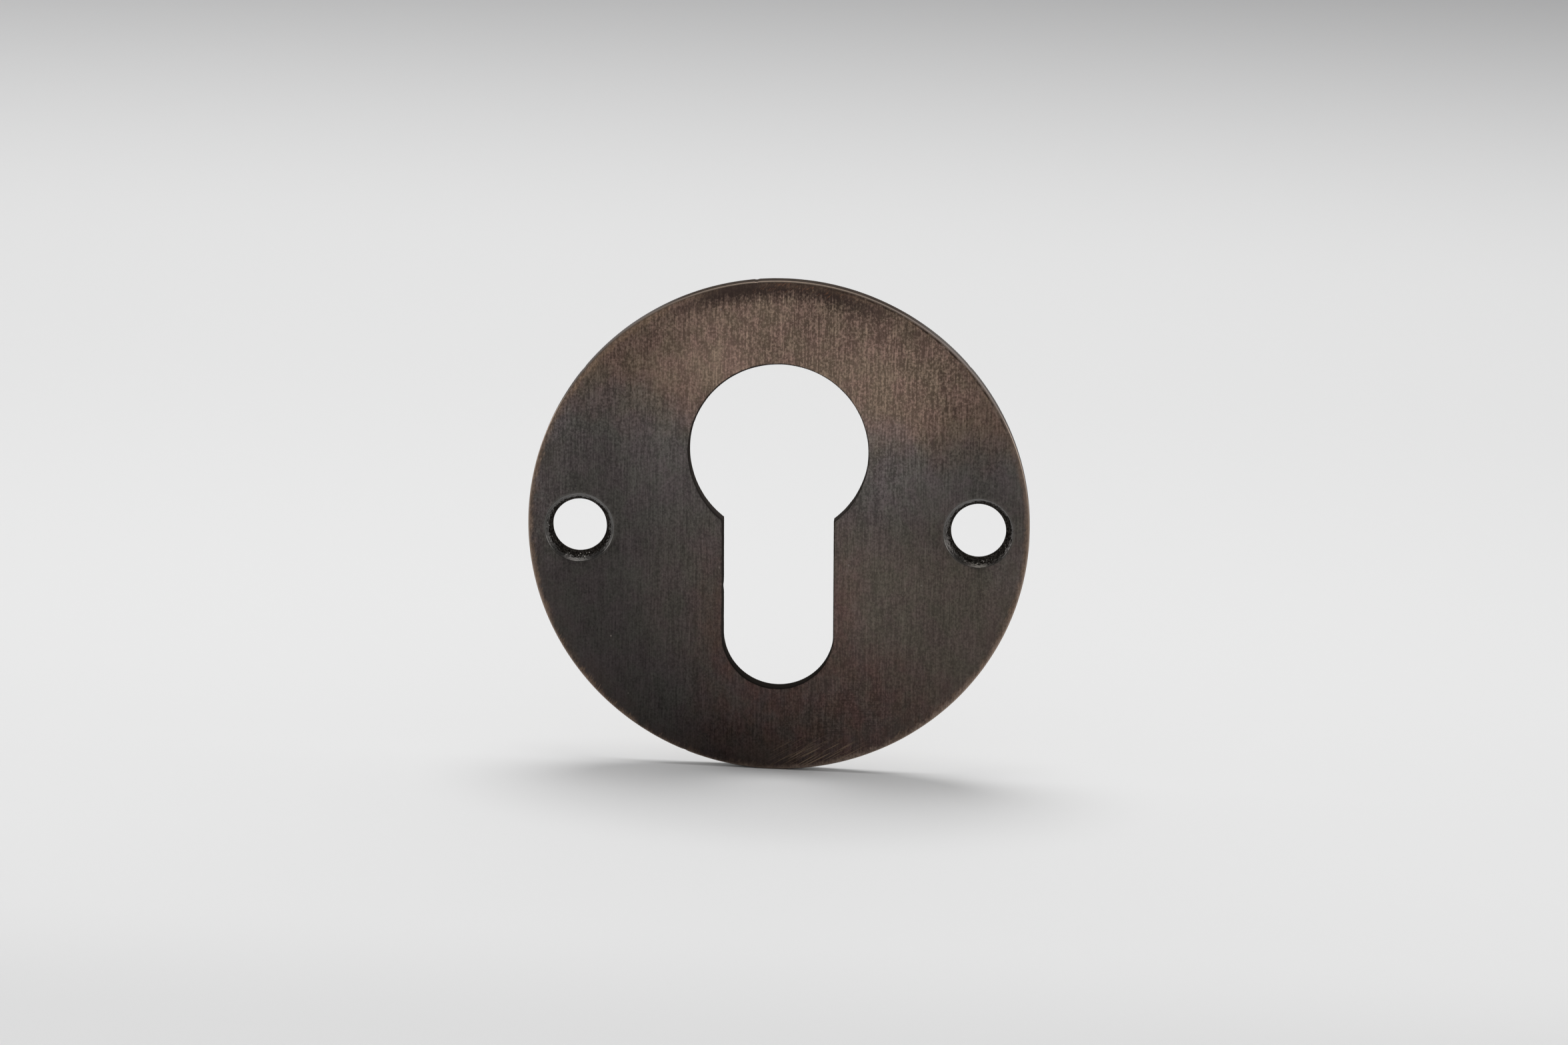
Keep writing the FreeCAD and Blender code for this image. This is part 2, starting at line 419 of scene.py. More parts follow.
# Cut metal: the countersinks, the bores, the walls of the cut-out and the rim's wall
LIP_METAL = (0.115, 0.108, 0.1)
CONE_DARK = (0.062, 0.059, 0.055)
CONE_PALE = (0.12, 0.115, 0.11)
CONE_FOOT = (0.05, 0.047, 0.043)
BORE_DARK = (0.01, 0.0085, 0.0075)
BORE_PALE = (0.045, 0.04, 0.035)
# Painted glints on the grit in the countersinks
GRIT_GLINT = (0.24, 0.225, 0.205)
CUT_FOOT = (0.014, 0.012, 0.0105)
CUT_DARK = (0.035, 0.03, 0.027)
WALL_DARK = (0.044, 0.035, 0.03)
WALL_BROWN = (0.066, 0.052, 0.043)
WALL_PALE = (0.135, 0.121, 0.113)
BACK_METAL = (0.085, 0.067, 0.054)


def add_node(tree, kind, **settings):
    """A new node of this kind, with its settings."""
    node = tree.nodes.new(kind)
    for name, value in settings.items():
        setattr(node, name, value)
    return node


def feed(tree, socket, value):
    """Sets a socket to a plain value, or links another node's output to it."""
    if isinstance(value, bpy.types.NodeSocket):
        tree.links.new(value, socket)
    else:
        socket.default_value = value


def work_out(tree, operation, *values, clamp=False):
    """One step of arithmetic on plain values or on other nodes' outputs."""
    node = add_node(tree, "ShaderNodeMath", operation=operation, use_clamp=clamp)
    for socket, value in zip(node.inputs, values):
        feed(tree, socket, value)
    return node.outputs[0]


def times(tree, first, second):
    """One value times another: for two masks, what lies in both."""
    return work_out(tree, "MULTIPLY", first, second)


def larger(tree, first, second):
    """The larger of two values: for two masks, what lies in either."""
    return work_out(tree, "MAXIMUM", first, second)


def mix_of(tree, *weighted, start=0.0):
    """The sum of some values, each times its weight."""
    total = start
    for value, weight in weighted:
        total = work_out(tree, "MULTIPLY_ADD", value, weight, total)
    return total


def about_zero(tree, value):
    """A value about a half, moved down to lie about zero."""
    return work_out(tree, "SUBTRACT", value, 0.5)


def spread(tree, value, low, high, out_low=0.0, out_high=1.0):
    """Turns low..high into out_low..out_high, smoothly and no further."""
    node = add_node(tree, "ShaderNodeMapRange", interpolation_type="SMOOTHSTEP")
    for socket, number in zip(node.inputs, (value, low, high, out_low, out_high)):
        feed(tree, socket, number)
    return node.outputs[0]


def fade(tree, value, full, gone):
    """A mask that is 1 up to one value, and fades away to 0 at the next."""
    return spread(tree, value, full, gone, 1.0, 0.0)


def band(tree, value, start, full, still_full, gone):
    """A mask that grows from 0 to 1 and fades away again."""
    return times(tree, spread(tree, value, start, full), fade(tree, value, still_full, gone))


def cloud(tree, places, grain_size, detail, roughness, seed, lean=0.0):
    """Noise whose features have this size in each direction, leaning over by an angle."""
    mapping = add_node(tree, "ShaderNodeMapping", vector_type="TEXTURE")
    feed(tree, mapping.inputs["Vector"], places)
    mapping.inputs["Location"].default_value = (seed * 7.1, seed * 1.3, -seed * 5.3)
    mapping.inputs["Rotation"].default_value = (0, math.radians(lean), 0)
    mapping.inputs["Scale"].default_value = grain_size
    node = add_node(tree, "ShaderNodeTexNoise")
    feed(tree, node.inputs["Vector"], mapping.outputs[0])
    node.inputs["Scale"].default_value = 1.0
    node.inputs["Detail"].default_value = detail
    node.inputs["Roughness"].default_value = roughness
    return node.outputs["Fac"]


def cells(tree, places, per_mm):
    """Scattered cells: how far a place is from its cell's middle, and the cell's own number."""
    node = add_node(tree, "ShaderNodeTexVoronoi")
    feed(tree, node.inputs["Vector"], places)
    node.inputs["Scale"].default_value = per_mm
    parts = add_node(tree, "ShaderNodeSeparateColor")
    feed(tree, parts.inputs[0], node.outputs["Color"])
    return node.outputs["Distance"], parts.outputs[0]


def blend(tree, share, first, second, kind="MIX"):
    """The first colour, with this share of the second over it."""
    # The node's colours are its inputs 6 and 7 and its output 2
    node = add_node(tree, "ShaderNodeMix", data_type="RGBA", blend_type=kind)
    feed(tree, node.inputs["Factor"], share)
    feed(tree, node.inputs[6], first if isinstance(first, bpy.types.NodeSocket) else (*first, 1))
    feed(tree, node.inputs[7], second if isinstance(second, bpy.types.NodeSocket) else (*second, 1))
    return node.outputs[2]


def tinted(tree, first, second):
    """One colour times another."""
    return blend(tree, 1.0, first, second, "MULTIPLY")


def grey(tree, tone):
    """The grey of a tone."""
    node = add_node(tree, "ShaderNodeCombineColor")
    for socket in node.inputs:
        feed(tree, socket, tone)
    return node.outputs[0]


def measure(tree, name):
    """One of the distances kept on the mesh."""
    return add_node(tree, "ShaderNodeAttribute", attribute_name=name).outputs["Fac"]


bronze = bpy.data.materials.new("patinated_bronze")
bronze.use_nodes = True
tree = bronze.node_tree
shader = tree.nodes["Principled BSDF"]

# Places on the plate, in millimetres across it to the right and up it
in_mm = add_node(tree, "ShaderNodeVectorMath", operation="SCALE")
feed(tree, in_mm.inputs[0], add_node(tree, "ShaderNodeTexCoord").outputs["Object"])
in_mm.inputs["Scale"].default_value = 1 / MM
places = in_mm.outputs[0]
separate = add_node(tree, "ShaderNodeSeparateXYZ")
feed(tree, separate.inputs[0], places)
across, up = separate.outputs[0], separate.outputs[2]
rim_gap = measure(tree, "rim_gap")
cutout_gap = measure(tree, "cutout_gap")
screw_gap = measure(tree, "screw_gap")
below_face = measure(tree, "below_face")

# The brushing: fine upright scratches, some that lean, long even ones, and the granular bite
# of the patina
fine_brush = cloud(tree, places, (0.14, 0.14, 2.4), 1.4, 0.6, seed=1.0)
lean_brush = cloud(tree, places, (0.17, 0.17, 2.0), 1.4, 0.6, seed=12.0, lean=4.0)
long_brush = cloud(tree, places, (0.18, 0.18, 9.0), 1.4, 0.6, seed=2.0)
speckle = cloud(tree, places, (0.18, 0.18, 0.22), 1.4, 0.65, seed=3.0)
grain = mix_of(tree, (fine_brush, 0.25), (lean_brush, 0.14), (long_brush, 0.13), (speckle, 0.48))

# The patina's own unevenness, from wide drifts down to small blotches
drift = about_zero(tree, cloud(tree, places, (9.0, 9.0, 9.0), 3.0, 0.55, seed=4.0))
mottle = about_zero(tree, cloud(tree, places, (3.0, 3.0, 3.6), 4.0, 0.6, seed=5.0))
blotch = about_zero(tree, cloud(tree, places, (0.8, 0.8, 1.2), 3.0, 0.6, seed=6.0))

# So deep that a patch goes right through the plate
PATCH_DEPTH = 1000.0


def patch(tree, place, size, drift, edge=0.5):
    """A soft stain round a place on the face, with a wandering outline: 1 inside, 0 outside."""
    mapping = add_node(tree, "ShaderNodeMapping", vector_type="TEXTURE")
    feed(tree, mapping.inputs["Vector"], places)
    mapping.inputs["Location"].default_value = (place[0], 0, place[1])
    mapping.inputs["Scale"].default_value = (size[0], PATCH_DEPTH, size[1])
    away = add_node(tree, "ShaderNodeVectorMath", operation="LENGTH")
    feed(tree, away.inputs[0], mapping.outputs[0])
    edge_place = mix_of(tree, (away.outputs["Value"], 1.0), (drift, 1.2))
    return fade(tree, edge_place, 1.0 - edge, 1.0 + edge)


# The face is darkest at the foot of the disc and palest above the bow, partly in its patina and partly
# as painted shade. Each tone is the metal's brightness at a height on the face.
TONES_AND_SHADE = [
    (-24, 0.024), (-15, 0.045), (-6, 0.062), (3, 0.073),
    (9, 0.096), (15, 0.136), (21, 0.146), (26, 0.125),
]
LOWEST, HIGHEST = -28.0, 28.0
height = mix_of(tree, (up, 1.0), (across, 0.16), (drift, 8.0))
tone_and_shade_of_height = add_node(tree, "ShaderNodeValToRGB")
ramp = tone_and_shade_of_height.color_ramp
while len(ramp.elements) < len(TONES_AND_SHADE):
    ramp.elements.new(0.5)
for element, (level, tone) in zip(ramp.elements, TONES_AND_SHADE):
    element.position = (level - LOWEST) / (HIGHEST - LOWEST)
    element.color = (tone, tone, tone, 1)
ramp.interpolation = "B_SPLINE"
ramp_place = add_node(tree, "ShaderNodeMapRange")
for socket, number in zip(ramp_place.inputs, (height, LOWEST, HIGHEST, 0.0, 1.0)):
    feed(tree, socket, number)
feed(tree, tone_and_shade_of_height.inputs[0], ramp_place.outputs[0])

# Its colour: warm above the bow, cool below, olive at the sides, and red at the foot and
# round the web
near_cutout = fade(tree, cutout_gap, 0.3, 4.5)
below_bow = fade(tree, up, -11.0, 4.0)
warm_share = spread(tree, mix_of(tree, (up, 1.0), (across, 0.13), (drift, 12.0)), 8.0, 15.0)
olive_right = patch(tree, (14.0, -9.0), (13.0, 11.0), drift)
olive_left = patch(tree, (-9.0, -6.0), (5.0, 7.0), drift)
olive_share = mix_of(tree, (olive_right, 0.7), (olive_left, 0.3))
foot_share = patch(tree, (3.5, -18.5), (11.5, 7.5), drift)
red_share = larger(tree, foot_share, times(tree, near_cutout, below_bow))
red_clouds = cloud(tree, places, (1.6, 1.6, 2.4), 3.0, 0.6, seed=15.0)
red_share = times(tree, red_share, spread(tree, red_clouds, 0.35, 0.65, 0.55, 1.15))
tint = blend(tree, warm_share, COOL, WARM)
tint = blend(tree, work_out(tree, "MINIMUM", olive_share, 1.0), tint, OLIVE)
tint = blend(tree, times(tree, red_share, 0.85), tint, RED)
cast_place = spread(tree, cloud(tree, places, (2.4, 2.4, 3.0), 3.0, 0.6, seed=8.0), 0.36, 0.64)
tint = tinted(tree, tint, blend(tree, cast_place, VIOLET_CAST, GREEN_CAST))
# The tint goes over each height's tone, which carries the painted shade towards the foot
colour = tinted(tree, tone_and_shade_of_height.outputs[0], tint)

# How strong the grain is: most above the bow, least at the lower left, and fainter towards
# the right rim
around_cutout = fade(tree, cutout_gap, 0.0, 13.0)
grain_below = mix_of(tree, (spread(tree, across, -16.0, 14.0, 2.7, 4.5), 1.0), (around_cutout, 1.6))
grain_below = mix_of(tree, (patch(tree, (8.5, -20.0), (7.0, 4.5), drift), 1.6), start=grain_below)
grain_above = spread(tree, across, -16.0, -1.0, 5.2, 9.0)
grain_place = mix_of(tree, (up, 1.0), (drift, 8.0))
grain_strength = spread(tree, grain_place, 4.0, 17.0, grain_below, grain_above)
left_rim = times(tree, spread(tree, across, -23.0, -17.5, 2.6, 0.0), spread(tree, up, -6.0, 0.0))
right_place = mix_of(tree, (across, 1.0), (up, -0.5))
right_fade = times(tree, spread(tree, right_place, 7.0, 14.5, 0.0, -0.4), spread(tree, up, -6.0, 3.0))
grain_strength = mix_of(tree, (left_rim, 1.0), start=grain_strength)
grain_strength = mix_of(tree, (grain_strength, right_fade), start=grain_strength)
streaks = times(tree, about_zero(tree, grain), grain_strength)
streaks = work_out(tree, "SMOOTH_MAX", streaks, -0.42, 0.3)

# How light each place is: the grain, soft mottling, and paler metal near the cut-out, near the
# rim and at the lower right
near_rim = fade(tree, rim_gap, 0.0, 4.5)
to_the_right = spread(tree, mix_of(tree, (across, 1.0), (drift, 10.0)), 0.0, 17.0)
lower_right = times(tree, to_the_right, fade(tree, up, -7.0, 4.0))
tone = mix_of(tree, (streaks, 1.0), (mottle, 0.5), (blotch, 0.17), (around_cutout, 0.46), start=0.8)
tone = mix_of(tree, (lower_right, 0.5), (near_rim, 0.25), start=tone)

# Paler and darker stains: where each is on the face, its size, and how much lighter it is
STAINS = [
    ((-9.0, 18.0), (5.0, 4.0), 0.2),
    ((-1.0, 22.0), (3.0, 2.0), 0.12),
    ((12.0, 13.5), (5.5, 5.0), 0.2),
    ((-14.0, 20.0), (5.0, 3.0), -0.22),
    ((-20.5, 8.0), (3.0, 5.0), 0.18),
    ((-23.5, 4.0), (2.0, 8.0), 0.16),
    ((-16.0, -9.0), (7.0, 8.0), 0.1),
    ((-5.0, -22.5), (4.0, 3.0), -0.16),
    ((9.0, -22.5), (5.0, 2.5), 0.16),
    ((8.0, -5.0), (3.5, 6.0), 0.16),
    ((15.0, 3.5), (3.0, 3.0), 0.16),
    ((21.5, -8.0), (3.0, 5.0), -0.1),
    ((21.5, 10.0), (3.0, 3.0), -0.06),
    ((-5.5, 16.5), (3.0, 2.0), 0.14),
]
for place, size, lighter in STAINS:
    tone = mix_of(tree, (patch(tree, place, size, drift), lighter), start=tone)

# Pits that hold dark patina, level scratches near the foot, and fine specks of clean metal
pits = fade(tree, cloud(tree, places, (0.22, 0.22, 0.34), 2.0, 0.6, seed=9.0), 0.25, 0.33)
tone = mix_of(tree, (pits, -0.06), start=tone)
level_scratch = about_zero(tree, cloud(tree, places, (2.5, 0.1, 0.1), 2.0, 0.6, seed=22.0))
level_scratch = times(tree, level_scratch, patch(tree, (8.0, -18.5), (4.0, 3.0), drift))
tone = mix_of(tree, (level_scratch, 1.6), start=tone)
colour = tinted(tree, colour, grey(tree, larger(tree, tone, 0.3)))
from_speck, speck_number = cells(tree, places, 0.55)
specks = times(tree, spread(tree, speck_number, 0.7, 0.75), fade(tree, from_speck, 0.04, 0.07))
colour = blend(tree, times(tree, specks, 0.4), colour, CLEAN_SPECK)

# The rim, where handling wore the patina through to the bronze, in short strokes: a soft brown
# band, a paler fringe outside it, and a bright line on the corner itself. A dark stain was left
# under the top edge.
strokes = cloud(tree, places, (0.12, 0.12, 1.3), 2.0, 0.6, seed=7.0, lean=28.0)
stroke_share = about_zero(tree, strokes)
lower_left = times(tree, fade(tree, up, -13.0, -6.0), fade(tree, across, -6.0, 4.0))
below_top = fade(tree, up, 18.0, 23.0)
under_top = times(tree, patch(tree, (0.0, 25.0), (11.0, 5.0), drift), 0.9)
top_reach = mix_of(tree, (rim_gap, 1.0), (mottle, 2.0), (blotch, 1.2), (about_zero(tree, grain), 3.5))
under_top = times(tree, under_top, fade(tree, top_reach, 0.7, 2.6))
stain_band = times(tree, fade(tree, rim_gap, 1.0, 2.8), spread(tree, mottle, -0.1, 0.12, 0.0, 0.3))
stain_band = larger(tree, stain_band, under_top)

worn_left = patch(tree, (-15.0, 19.0), (9.0, 7.0), drift)
worn_top = patch(tree, (4.0, 24.0), (7.0, 1.6), drift)
much_worn = larger(tree, worn_left, worn_top)
at_rim = fade(tree, rim_gap, 0.1, 1.5)
edge_wear = mix_of(tree, (at_rim, 0.42), (mottle, 0.9), (strokes, 0.8), (much_worn, 0.2))
worn = times(tree, spread(tree, edge_wear, 0.74, 0.98), fade(tree, rim_gap, 1.4, 2.4))
worn = times(tree, worn, mix_of(tree, (under_top, -0.75), start=1.0))
worn = times(tree, worn, spread(tree, up, -23.0, -18.0, 0.3, 1.0))

brown_reach = mix_of(tree, (rim_gap, 1.0), (mottle, 2.4), (blotch, 1.8), (stroke_share, 0.6))
rim_brown = spread(tree, brown_reach, -0.2, 0.85, 0.62, 0.0)
rim_brown = times(tree, rim_brown, fade(tree, up, 12.0, 20.0))
rim_brown = times(tree, rim_brown, spread(tree, up, -23.5, -17.0, 0.35, 1.0))
rim_brown = times(tree, rim_brown, mix_of(tree, (lower_left, -0.45), start=1.0))
fringe_reach = mix_of(tree, (rim_gap, 1.0), (blotch, 0.9), (stroke_share, 0.25), (lower_left, 0.26))
fringe = times(tree, spread(tree, fringe_reach, 0.1, 0.62, 0.9, 0.0), below_top)
bright_edge = times(tree, spread(tree, rim_gap, 0.09, 0.22, 0.85, 0.0), below_top)
bright_edge = times(tree, bright_edge, mix_of(tree, (lower_left, -0.5), start=1.0))

worn_grey = grey(tree, mix_of(tree, (streaks, 0.8), start=1.0))
colour = blend(tree, rim_brown, colour, tinted(tree, worn_grey, BROWN_WEAR))
colour = blend(tree, fringe, colour, tinted(tree, worn_grey, FRINGE_METAL))
colour = blend(tree, stain_band, colour, DARK_STAIN)
colour = blend(tree, times(tree, worn, 0.5), colour, tinted(tree, worn_grey, WORN_BRONZE))
colour = blend(tree, bright_edge, colour, EDGE_BRONZE)

# Slanting scratches at the foot, and reddish nicks at the top
foot_scratch = cloud(tree, places, (0.09, 0.09, 4.0), 1.0, 0.5, seed=14.0, lean=60.0)
scratched = patch(tree, (5.0, -23.3), (5.0, 1.7), drift)
scratches = times(tree, spread(tree, foot_scratch, 0.57, 0.65), scratched)
colour = blend(tree, times(tree, scratches, 0.8), colour, SCRATCHED_METAL)
top_nick = cloud(tree, places, (0.12, 0.12, 0.8), 2.0, 0.6, seed=17.0, lean=48.0)
nicked = patch(tree, (4.0, 24.4), (5.0, 1.2), drift)
red_nicks = times(tree, spread(tree, top_nick, 0.6, 0.68), nicked)
red_nicks = times(tree, red_nicks, spread(tree, rim_gap, 0.9, 1.4, 0.8, 0.0))
colour = blend(tree, red_nicks, colour, RED_METAL)

# The rim's front corner shines at the top: partly metal rubbed bare, and partly a painted highlight
# where the corner catches the lamp. At the upper right a dark line of patina runs just inside it
inner_line = band(tree, rim_gap, 0.17, 0.22, 0.3, 0.42)
inner_line = times(tree, inner_line, spread(tree, blotch, -0.15, 0.1, 0.2, 0.85))
inner_line = times(tree, inner_line, spread(tree, across, -2.0, 12.0))
inner_line = times(tree, inner_line, spread(tree, up, 3.0, 16.0))
colour = blend(tree, inner_line, colour, PATINA_LINE)
corner = band(tree, rim_gap, 0.0, 0.03, 0.13, 0.19)
rubbed_and_lit_place = mix_of(tree, (up, 1.0), (larger(tree, across, 0.0), 0.35))
rubbed_and_lit = times(tree, spread(tree, rubbed_and_lit_place, 17.0, 23.0), spread(tree, across, -20.0, -15.0))
patchy = spread(tree, mottle, -0.2, 0.05, 0.7, 1.0)
bare_and_highlit_corner = times(tree, corner, times(tree, rubbed_and_lit, patchy))
bare_metal_and_highlight = blend(tree, spread(tree, across, 5.0, 18.0), CORNER_HIGHLIGHT_LEFT, CORNER_HIGHLIGHT_RIGHT)
colour = blend(tree, bare_and_highlit_corner, colour, bare_metal_and_highlight)

# Each countersink has a broad soft ring of paler metal, with a dull speckled cone inside it
in_hole = spread(tree, screw_gap, -0.12, -0.02, 0.75, 0.0)
cone_low = times(tree, fade(tree, up, -3.3, -2.6), spread(tree, across, 0.0, 5.0))
cone_metal = blend(tree, speckle, CONE_DARK, CONE_PALE)
cone_metal = blend(tree, cone_low, cone_metal, CONE_FOOT)
colour = blend(tree, in_hole, colour, cone_metal)
lip = band(tree, screw_gap, -0.22, -0.08, 0.0, 0.16)
lip = times(tree, lip, spread(tree, blotch, -0.16, 0.1, 0.2, 0.6))
lip = times(tree, lip, spread(tree, up, -3.7, -2.6, 0.45, 1.0))
colour = blend(tree, lip, colour, LIP_METAL)

# Cut metal is dark: the walls of the cut-out with their front edge, and each bore with the
# inner part of its countersink, whose rough outline wanders
not_back = fade(tree, below_face, THICKNESS - 0.1, THICKNESS - 0.02)
left_half = spread(tree, across, -4.0, 4.0, -0.07, 0.0)
cut_reach = mix_of(tree, (cutout_gap, 1.0), (blotch, 0.15), (left_half, 1.0))
cut_edge = fade(tree, cut_reach, 0.04, 0.14)
fresh_foot = patch(tree, (-SCREW_REACH, -3.2), (2.1, 0.6), about_zero(tree, speckle), 0.3)
fresh_side = patch(tree, (-16.6, 0.3), (0.7, 2.2), drift)
hole_top = times(tree, spread(tree, up, 1.2, 2.8), spread(tree, across, -1.0, 1.0, 0.2, 0.05))
hole_foot = spread(tree, up, -3.3, -2.0, -0.04, 0.0)
outer_left = spread(tree, across, -23.0, -21.5, 0.1, 0.0)
inner_right = spread(tree, across, -1.0, 17.0, 0.0, 0.15)
outer_right = spread(tree, across, 17.0, 22.5, 0.0, -0.25)
hole_sides = mix_of(tree, (outer_left, 1.0), (inner_right, 1.0), (outer_right, 1.0))
hole_reach = mix_of(tree, (screw_gap, 1.0), (fresh_foot, 0.1), (fresh_side, 0.12), (hole_foot, 1.0))
hole_reach = mix_of(tree, (hole_top, 1.0), (hole_sides, 1.0), (blotch, 0.45), start=hole_reach)
hole_reach = mix_of(tree, (about_zero(tree, speckle), 0.7), start=hole_reach)
hole_dark = fade(tree, hole_reach, -0.42, -0.24)
rough_cut = blend(tree, spread(tree, speckle, 0.4, 0.65), BORE_DARK, BORE_PALE)
smooth_cut = blend(tree, spread(tree, up, -15.0, -9.0), CUT_FOOT, CUT_DARK)
cut_wall = times(tree, larger(tree, cut_edge, hole_dark), not_back)
colour = blend(tree, cut_wall, colour, blend(tree, hole_dark, smooth_cut, rough_cut))

# The rim's wall is dark brown, with turning marks round it, and paler at the sides of the disc
bright_side = larger(tree, rubbed_and_lit, fade(tree, up, 10.0, 15.0))
wall_start = mix_of(tree, (below_face, 1.0), (bright_side, -0.09))
rim_wall = times(tree, spread(tree, wall_start, 0.03, 0.09), not_back)
rim_wall = times(tree, rim_wall, fade(tree, rim_gap, 0.5, 1.0))
turning_marks = cloud(tree, places, (0.9, 0.2, 0.9), 3.0, 0.6, seed=21.0)
wall_metal = blend(tree, spread(tree, turning_marks, 0.35, 0.65), WALL_DARK, WALL_BROWN)
pale_sides = larger(tree, spread(tree, across, 11.0, 18.0), fade(tree, across, -14.0, -8.0))
wall_metal = blend(tree, pale_sides, wall_metal, WALL_PALE)
colour = blend(tree, rim_wall, colour, wall_metal)

# Painted glints on the grit in the countersinks: bright specks, most of them at the bottom, where the
# cone faces up to the light
low_in_hole = spread(tree, up, -2.9, -2.0, 0.1, 0.0)
at_bottom = times(tree, low_in_hole, spread(tree, across, -1.0, 1.0, 1.0, 0.3))
from_grit, grit_number = cells(tree, places, 6.5)
grit_glint_cells = spread(tree, work_out(tree, "ADD", grit_number, at_bottom), 0.84, 0.98)
glints = times(tree, grit_glint_cells, fade(tree, from_grit, 0.2, 0.45))
in_cone = band(tree, screw_gap, -0.8, -0.66, -0.25, -0.1)
glints = times(tree, glints, times(tree, in_cone, not_back))
colour = blend(tree, glints, colour, GRIT_GLINT)

# The back was brushed and darkened too, and then kept from wear by the door
back_tone = mix_of(tree, (grain, 5.0), (mottle, 0.4), start=-1.6)
back_metal = tinted(tree, grey(tree, back_tone), BACK_METAL)
colour = blend(tree, not_back, back_metal, colour)
feed(tree, shader.inputs["Base Color"], colour)

# Bare and patinated metal shines softly, and cut metal is dull
dull = work_out(tree, "SUBTRACT", cut_wall, glints, clamp=True)
metallic = mix_of(tree, (dull, -1.0), (rim_wall, -1.0), start=1.0)
feed(tree, shader.inputs["Metallic"], larger(tree, metallic, 0.0))
roughness = mix_of(tree, (speckle, 0.2), (mottle, 0.16), (dull, 0.4), (rim_wall, 0.12), start=0.26)
roughness = mix_of(tree, (bare_and_highlit_corner, 0.3), start=roughness)
feed(tree, shader.inputs["Roughness"], roughness)
shader.inputs["Specular IOR Level"].default_value = 0.0

BRUSH_DEPTH = 0.02 * MM
bump = add_node(tree, "ShaderNodeBump")
bump.inputs["Strength"].default_value = 0.6
bump.inputs["Distance"].default_value = BRUSH_DEPTH
feed(tree, bump.inputs["Height"], grain)
feed(tree, shader.inputs["Normal"], bump.outputs[0])

plate_mesh.materials.append(bronze)
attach(plate, "root")
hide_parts("escutcheon_plate")

# The pale floor, a large plain sheet of paper that the plate stands on, with painted shade that darkens
# it towards the back. The plate was set down turned a little on its rim, so in the plate's own frame the
# floor slopes down to the right. Its sizes are in metres.
FLOOR_HALF = 6.0
FLOOR_SLOPE = math.radians(1.9)
PAPER_FRONT = (0.8, 0.8, 0.8)
# Painted shade on the paper nearest the camera
PAPER_SHADE_NEAREST = (0.75, 0.75, 0.75)
# The paper's painted shade further back, where the light falls off: where each tone begins and is full,
# in metres behind the plate
PAPER_SHADE_BEHIND = [
    (-0.035, 0.0, (0.787, 0.787, 0.787)),
    (0.02, 0.2, (0.74, 0.74, 0.74)),
    (0.26, 0.73, (0.375, 0.375, 0.38)),
]
floor_mesh = bpy.data.meshes.new("floor")
corners = [(-1, -1), (1, -1), (1, 1), (-1, 1)]
floor_mesh.from_pydata(
    [(FLOOR_HALF * x, FLOOR_HALF * y, -DISC_RADIUS * MM) for x, y in corners], [], [(0, 1, 2, 3)]
)
floor = bpy.data.objects.new("floor", floor_mesh)
floor.location = (0, 0, DISC_MIDDLE * MM)
floor.rotation_euler = (0, FLOOR_SLOPE, 0)
bpy.context.scene.collection.objects.link(floor)

paper = bpy.data.materials.new("pale_paper")
paper.use_nodes = True
paper_tree = paper.node_tree
paper_shader = paper_tree.nodes["Principled BSDF"]
paper_parts = add_node(paper_tree, "ShaderNodeSeparateXYZ")
feed(paper_tree, paper_parts.inputs[0], add_node(paper_tree, "ShaderNodeTexCoord").outputs["Object"])
how_far_back = paper_parts.outputs[1]
paper_colour = PAPER_FRONT
for start, full, paper_shade_tone in PAPER_SHADE_BEHIND:
    reached = spread(paper_tree, how_far_back, start, full)
    paper_colour = blend(paper_tree, reached, paper_colour, paper_shade_tone)
# Painted shade: the paper nearest the camera is a little darker
nearest_shade = fade(paper_tree, how_far_back, -0.09, -0.055)
paper_colour = blend(paper_tree, nearest_shade, paper_colour, PAPER_SHADE_NEAREST)
feed(paper_tree, paper_shader.inputs["Base Color"], paper_colour)
paper_shader.inputs["Roughness"].default_value = 0.9
paper_shader.inputs["Specular IOR Level"].default_value = 0.0
floor_mesh.materials.append(paper)

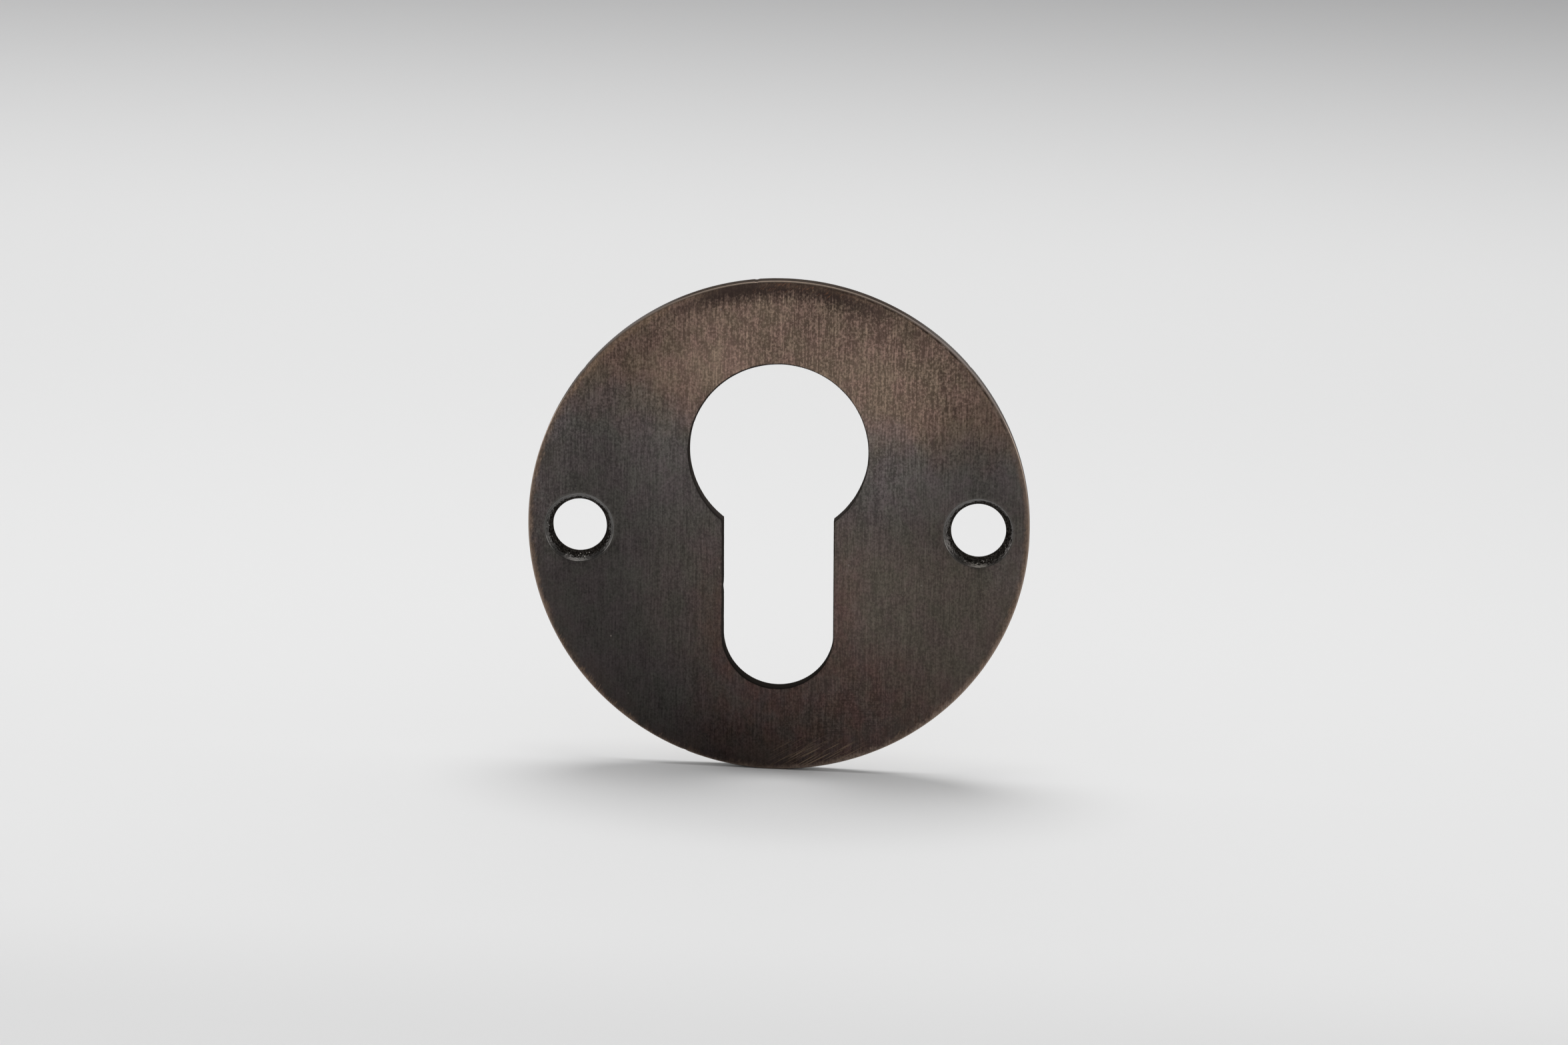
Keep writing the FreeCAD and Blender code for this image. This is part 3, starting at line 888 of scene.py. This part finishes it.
# The light: a round soft lamp overhead and behind, and the room, whose pale walls behind and
# beside the plate glow near the horizon. Lengths are in metres, and the power is in watts.
LAMP_WIDTH = 0.58
LAMP_POWER = 4.4
LAMP_PLACE = (-0.01, 0.149, 0.75)
ROOM_DIM = (0.25, 0.25, 0.25)
ROOM_GLOW = (2.3, 2.3, 2.3)
lamp_data = bpy.data.lights.new("soft_lamp", "AREA")
lamp_data.shape = "DISK"
lamp_data.size = LAMP_WIDTH
lamp_data.energy = LAMP_POWER
lamp = bpy.data.objects.new("soft_lamp", lamp_data)
lamp.location = LAMP_PLACE
bpy.context.scene.collection.objects.link(lamp)

room = bpy.data.worlds.new("room")
room.use_nodes = True
room_tree = room.node_tree
towards = add_node(room_tree, "ShaderNodeSeparateXYZ")
feed(room_tree, towards.inputs[0], add_node(room_tree, "ShaderNodeTexCoord").outputs["Generated"])
low_down = fade(room_tree, towards.outputs[2], 0.25, 0.5)
not_in_front = spread(room_tree, towards.outputs[1], -0.4, 0.1)
room_colour = blend(room_tree, times(room_tree, low_down, not_in_front), ROOM_DIM, ROOM_GLOW)
feed(room_tree, room_tree.nodes["Background"].inputs["Color"], room_colour)
bpy.context.scene.world = room

# The camera, set as the photograph was taken: a long lens, a little above and to the right.
# Its angles are in degrees, and its distance and aim in millimetres.
CAMERA_LENS = 137.755
SENSOR_WIDTH = 36.0
CAMERA_AZIMUTH = 2.746
CAMERA_ELEVATION = 13.456
CAMERA_ROLL = 0.238
CAMERA_REACH = 597.0
CAMERA_AIM = (0.5536, -1.6, 0.8084)
camera_data = bpy.data.cameras.new("camera")
camera_data.lens = CAMERA_LENS
camera_data.sensor_width = SENSOR_WIDTH
camera_data.clip_start = 0.01
camera_data.clip_end = 50.0
camera = bpy.data.objects.new("camera", camera_data)
azimuth, elevation = math.radians(CAMERA_AZIMUTH), math.radians(CAMERA_ELEVATION)
backwards = Vector((
    math.sin(azimuth) * math.cos(elevation),
    -math.cos(azimuth) * math.cos(elevation),
    math.sin(elevation),
))
camera_place = Vector(CAMERA_AIM) * MM + backwards * (CAMERA_REACH * MM)
facing = backwards.to_track_quat("Z", "Y").to_matrix().to_4x4()
rolled = Matrix.Rotation(math.radians(CAMERA_ROLL), 4, "Z")
camera.matrix_world = Matrix.Translation(camera_place) @ facing @ rolled
bpy.context.scene.collection.objects.link(camera)
bpy.context.scene.camera = camera

bpy.context.scene.view_settings.view_transform = "Standard"
